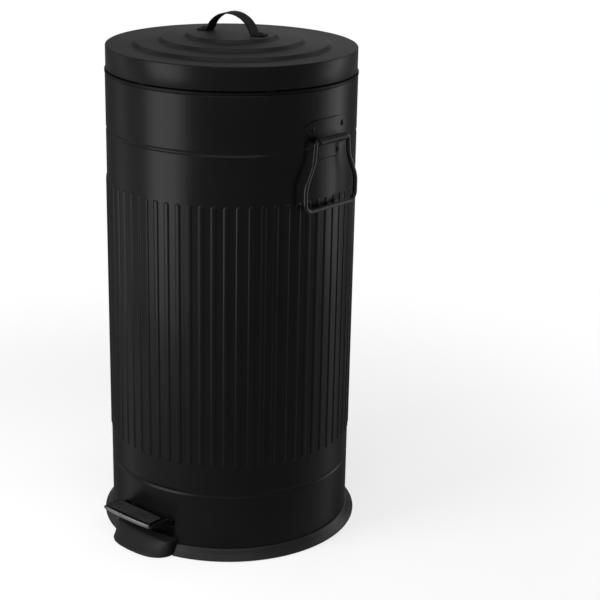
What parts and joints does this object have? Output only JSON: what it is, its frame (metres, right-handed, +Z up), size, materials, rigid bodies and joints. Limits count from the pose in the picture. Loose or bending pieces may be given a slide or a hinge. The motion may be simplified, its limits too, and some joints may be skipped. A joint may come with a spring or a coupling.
{
  "type": "pedal bin",
  "caption": "Round free-standing pedal bin with a ribbed steel shell, stepped lid with strap handle, swing side handles and an inner bucket.",
  "frame": {"origin": "on the floor, on the axis of the round shell", "axes": "+Z up along the shell's axis, -Y towards the pedal, +Y towards the lid hinge, +X and -X towards the swing handles"},
  "size_m": [0.321, 0.3455, 0.6383],
  "materials": {
    "black_powder_coat": "satin black powder coat",
    "black_plastic": "moulded, slightly glossy",
    "black_rubber": "matt",
    "zinc_steel": "zinc plated",
    "grey_nylon": "natural nylon"
  },
  "bodies": {
    "shell": {"body_shell": "black_powder_coat", "hinge_bracket": "black_powder_coat", "hinge_rivets": "black_powder_coat", "ear_plate_right": "black_powder_coat", "ear_plate_left": "black_powder_coat", "ear_rivets_right": "black_powder_coat", "ear_rivets_left": "black_powder_coat", "base_ring": "black_plastic", "front_foot": "black_plastic", "rim_collar": "black_plastic", "inner_bucket": "black_plastic", "bucket_ears": "black_plastic", "rubber_feet": "black_rubber", "hinge_pin": "zinc_steel", "rod_guides": "zinc_steel", "lever_axle": "zinc_steel", "axle_clips": "zinc_steel", "pivot_lugs": "zinc_steel", "floor_plate": "zinc_steel", "floor_screws": "zinc_steel", "foot_screws": "zinc_steel", "bucket_wire": "zinc_steel"},
    "lid": {"lid_panel": "black_powder_coat", "strap_handle": "black_powder_coat", "strap_rivets": "black_powder_coat", "lid_hinge_arm": "black_powder_coat", "lid_rivets": "black_powder_coat", "lift_finger": "zinc_steel", "lid_stops": "black_rubber"},
    "pedal": {"pedal_lever": "black_powder_coat", "pedal_plate": "black_powder_coat", "tread_rubber": "black_rubber"},
    "rod": {"lift_rod": "zinc_steel", "rod_caps": "grey_nylon"},
    "right_handle": {"swing_handle_right": "black_powder_coat"},
    "left_handle": {"swing_handle_left": "black_powder_coat"}
  },
  "joints": [
    {"name": "lid_hinge", "type": "hinge", "parent": "shell", "child": "lid", "pos_m": [0, 0.1565, 0.566], "axis": [-1, 0, 0], "range_deg": [0, 70]},
    {"name": "pedal_hinge", "type": "hinge", "parent": "shell", "child": "pedal", "pos_m": [0, -0.03, 0.034], "axis": [1, 0, 0], "range_deg": [0, 7.5]},
    {"name": "rod_lift", "type": "slide", "parent": "shell", "child": "rod", "axis": [0, 0, 1], "range_m": [0, 0.022]},
    {"name": "right_handle_swing", "type": "hinge", "parent": "shell", "child": "right_handle", "pos_m": [0.1563, 0, 0.512], "axis": [0, -1, 0], "range_deg": [0, 175]},
    {"name": "left_handle_swing", "type": "hinge", "parent": "shell", "child": "left_handle", "pos_m": [-0.1563, 0, 0.512], "axis": [0, 1, 0], "range_deg": [0, 175]}
  ],
  "couplings": [
    {"joint": "pedal_hinge", "follows": "lid_hinge", "ratio": 0.10682},
    {"joint": "rod_lift", "follows": "lid_hinge", "m_per_rad": 0.018}
  ]
}
